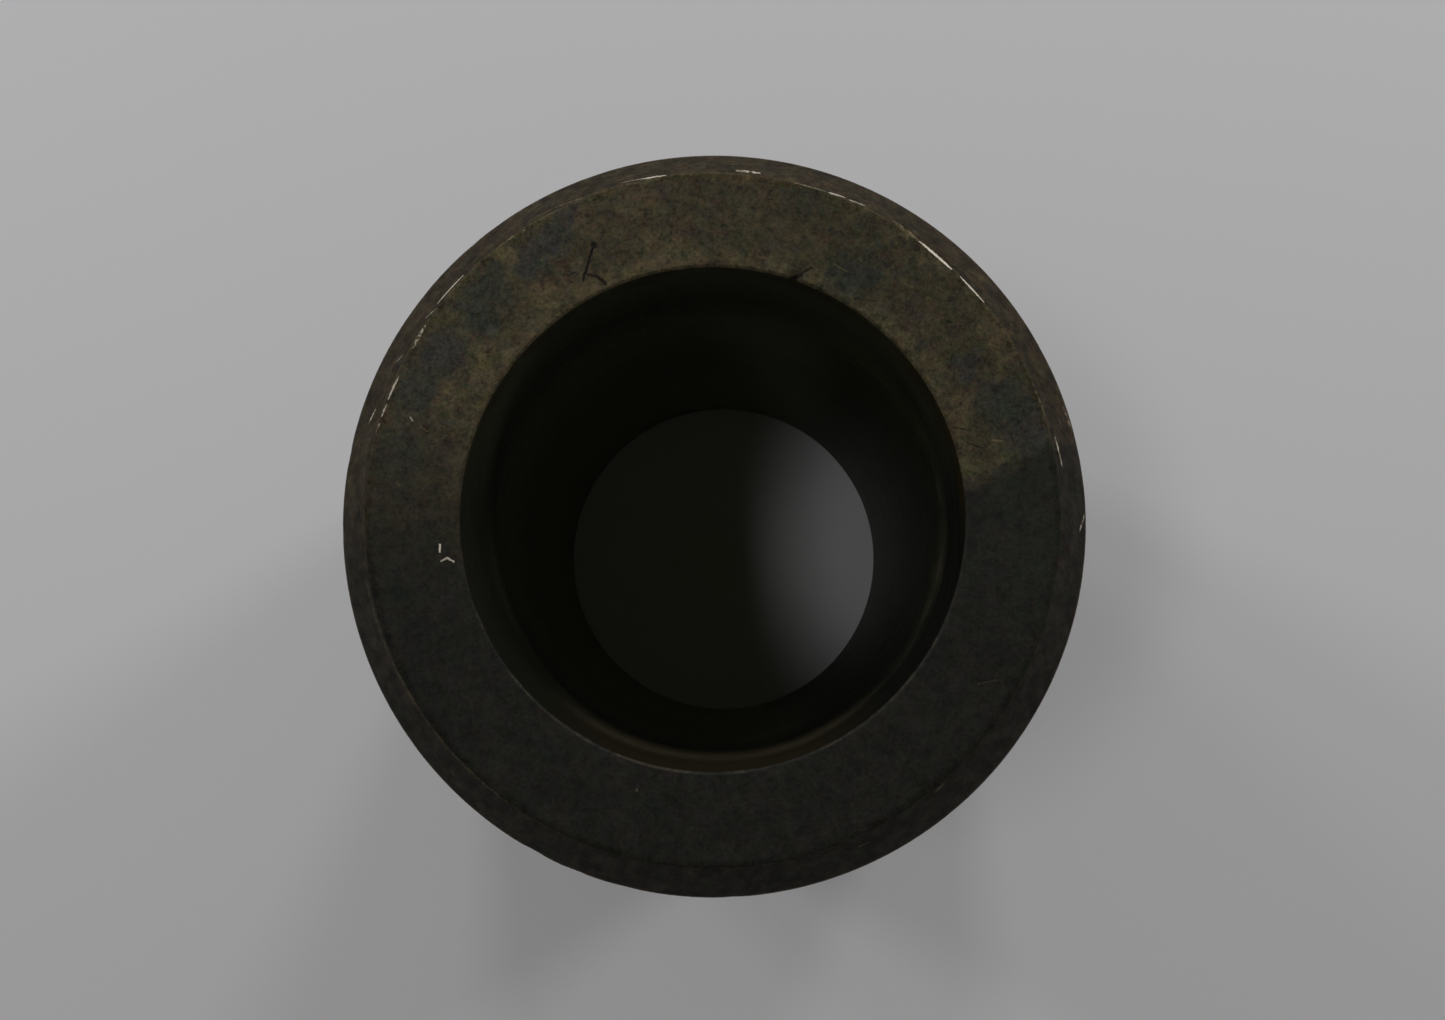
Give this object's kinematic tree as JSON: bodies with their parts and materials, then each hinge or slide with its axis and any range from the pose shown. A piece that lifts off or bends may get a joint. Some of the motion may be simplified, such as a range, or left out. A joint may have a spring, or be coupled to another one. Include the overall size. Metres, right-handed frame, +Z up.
{
  "type": "sleeve bushing",
  "caption": "Plain thick-walled bronze sleeve bushing: a straight through bore for a shaft and a press-fit outside with lead-in chamfers at both ends.",
  "frame": {"origin": "centre of the bottom end face, on the bore's axis", "axes": "+Z up along the bore's axis; X and Y are free, as the part is a body of revolution"},
  "size_m": [0.0794, 0.0794, 0.0889],
  "materials": {
    "bronze": "turned bearing bronze under a dark olive-brown tarnish, satin, burnished bright on worn corners"
  },
  "bodies": {
    "root": {"bushing_sleeve": "bronze"}
  },
  "joints": []
}
